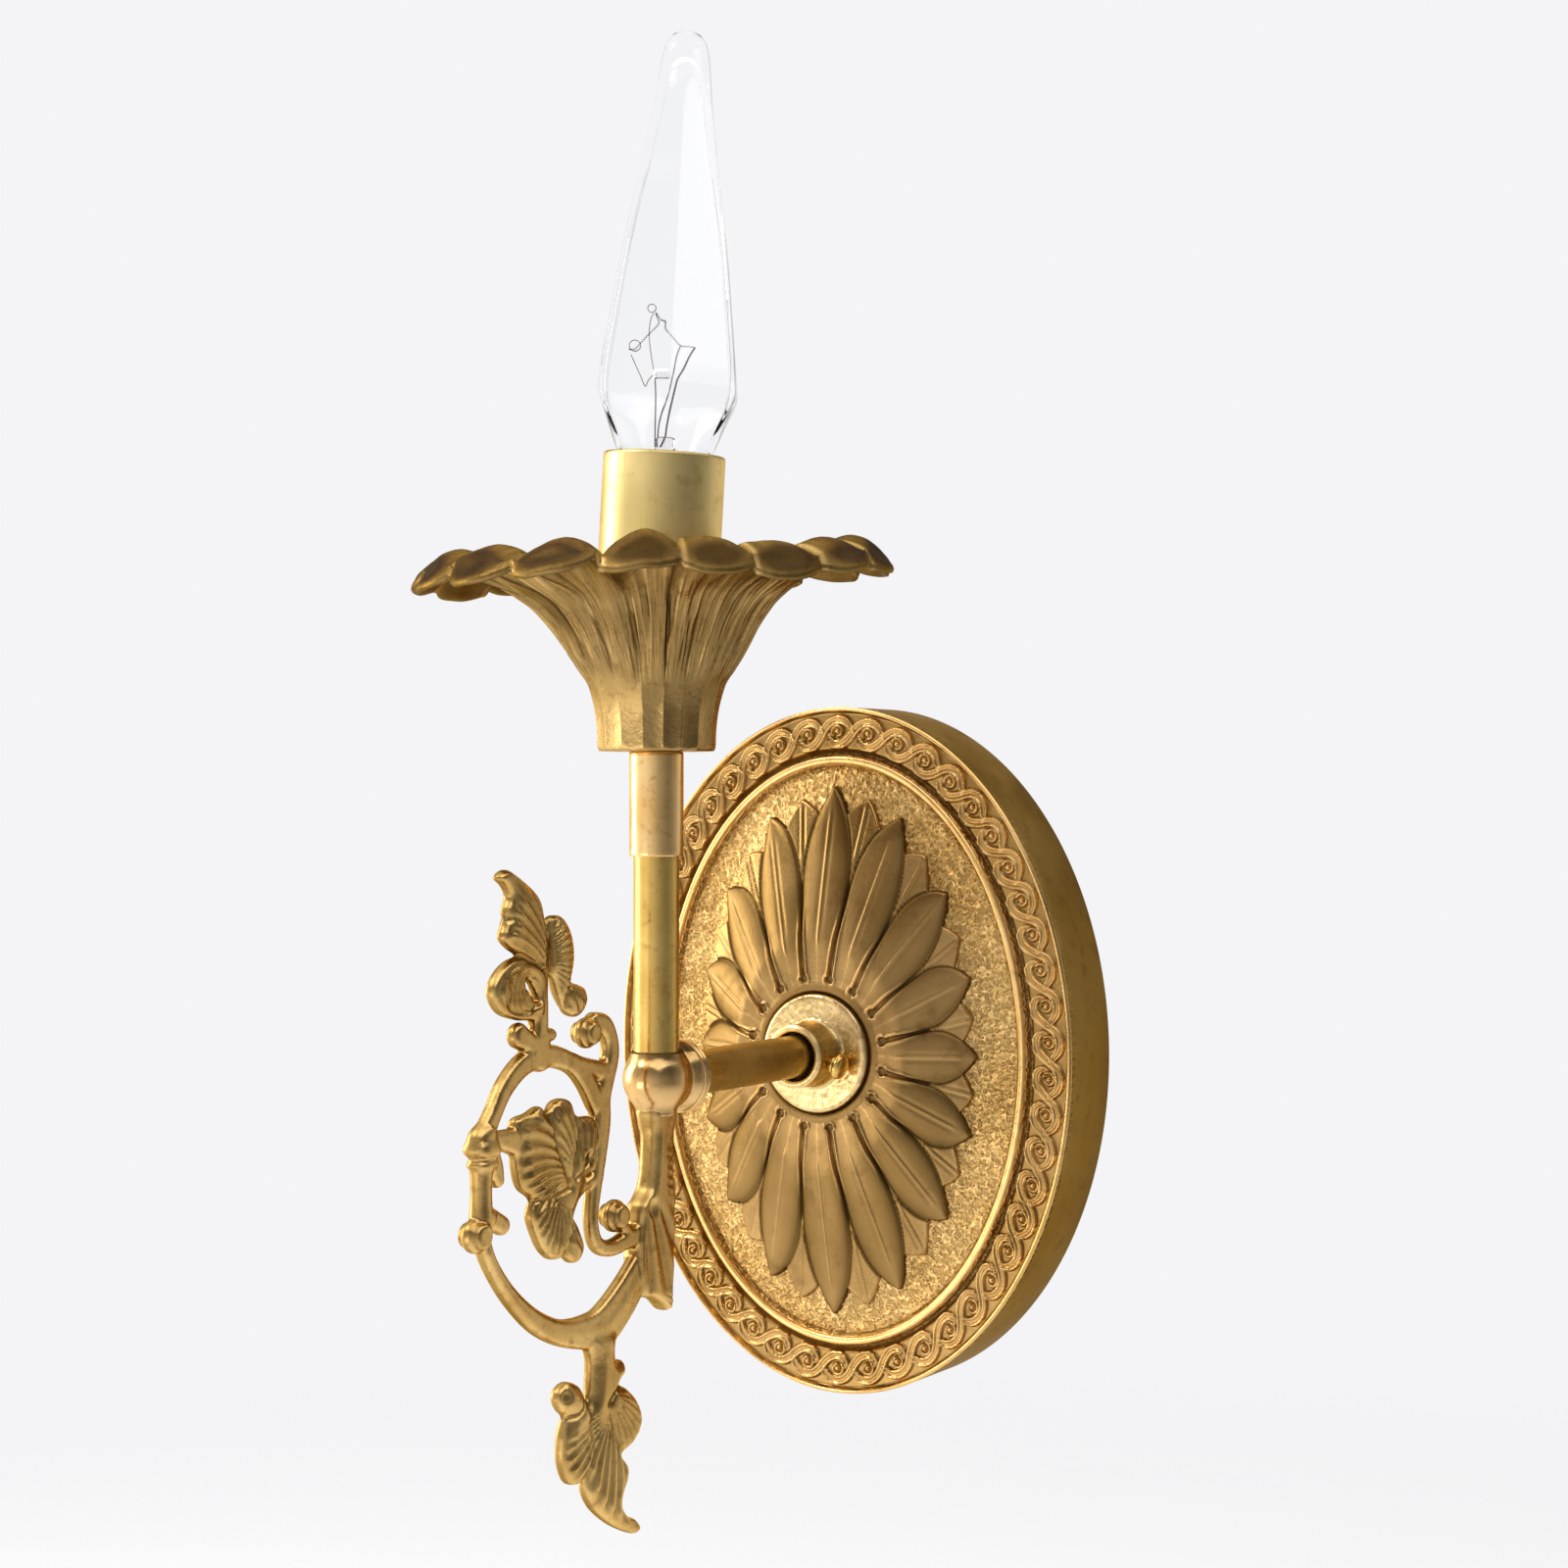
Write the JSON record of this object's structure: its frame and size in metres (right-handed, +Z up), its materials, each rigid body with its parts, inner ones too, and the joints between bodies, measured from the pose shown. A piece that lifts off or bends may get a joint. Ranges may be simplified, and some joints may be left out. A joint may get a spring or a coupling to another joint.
{
  "type": "wall sconce",
  "caption": "Electric candle wall sconce: oval embossed wall plate, tubular arm, scrollwork bracket, flower-shaped cup and a candle socket with a clear faceted bulb.",
  "frame": {"origin": "on the wall plane, on the arm's axis, midway between the wall-box screws", "axes": "+Y into the wall, -Y out into the room along the arm, +Z up, +X to the right seen from the front"},
  "size_m": [0.119, 0.1608, 0.3086],
  "materials": {
    "cast_brass": "satin antiqued casting",
    "tube_brass": "brushed and lacquered tube",
    "ring_brass": "bright turned brass, lightly speckled",
    "rose_brass": "polished",
    "antique_bronze": "matte antiqued casting",
    "cover_brass": "fine brushed",
    "hardware_brass": "plain turned",
    "zinc_steel": "zinc plated",
    "green_steel": "green dyed zinc plate",
    "phenolic": "moulded phenolic",
    "black_lead": "wire insulation",
    "white_lead": "wire insulation",
    "bare_copper": "bare copper",
    "clear_glass": "clear pressed glass",
    "tungsten": "drawn wire",
    "solder": "soldered tip"
  },
  "bodies": {
    "fixture": {"crossbar": "zinc_steel", "arm_nuts": "hardware_brass", "lock_washer": "zinc_steel", "ground_screw": "green_steel", "arm_tube": "tube_brass", "check_ring": "rose_brass", "hub": "rose_brass", "scroll_bracket": "cast_brass", "scroll_stud": "zinc_steel", "stem_tube": "tube_brass", "coupling_sleeve": "rose_brass", "cup_nipple": "hardware_brass", "candle_cup": "antique_bronze", "nipple_nuts": "hardware_brass", "socket_bracket": "zinc_steel", "socket_insulator": "phenolic", "socket_screw_shell": "hardware_brass", "centre_contact": "hardware_brass", "shell_rivet": "hardware_brass", "hot_wire": "black_lead", "neutral_wire": "white_lead", "ground_wire": "bare_copper"},
    "wall_plate": {"backplate": "cast_brass"},
    "collar": {"slip_ring": "ring_brass"},
    "collar_screw": {"thumb_screw": "ring_brass"},
    "cover": {"socket_cover": "cover_brass"},
    "bulb_tip": {"bulb_tip_contact": "solder"},
    "bulb": {"bulb_base_insulator": "phenolic", "bulb_base_shell": "hardware_brass", "bulb_glass": "clear_glass", "bulb_stem": "clear_glass", "bulb_leads": "zinc_steel", "bulb_filament": "tungsten"}
  },
  "joints": [
    {"name": "plate_slide", "type": "slide", "parent": "fixture", "child": "wall_plate", "axis": [0, -1, 0], "range_m": [0, 0.025]},
    {"name": "collar_slide", "type": "slide", "parent": "wall_plate", "child": "collar", "axis": [0, -1, 0], "range_m": [0, 0.015]},
    {"name": "screw_turn", "type": "hinge", "parent": "collar", "child": "collar_screw", "pos_m": [0, -0.0353, 0], "axis": [0.9703, 0, -0.2419], "range_deg": [0, 720]},
    {"name": "cover_lift", "type": "slide", "parent": "fixture", "child": "cover", "axis": [0.0645, 0, 0.9979], "range_m": [0, 0.004]},
    {"name": "bulb_lift", "type": "slide", "parent": "fixture", "child": "bulb_tip", "axis": [0.0645, 0, 0.9979], "range_m": [0, 0.01016]},
    {"name": "bulb_turn", "type": "hinge", "parent": "bulb_tip", "child": "bulb", "pos_m": [0, -0.096, 0.098], "axis": [0.0645, 0, 0.9979], "range_deg": [0, 1440]}
  ],
  "couplings": [
    {"joint": "bulb_lift", "follows": "bulb_turn", "m_per_rad": 0.00040425}
  ]
}
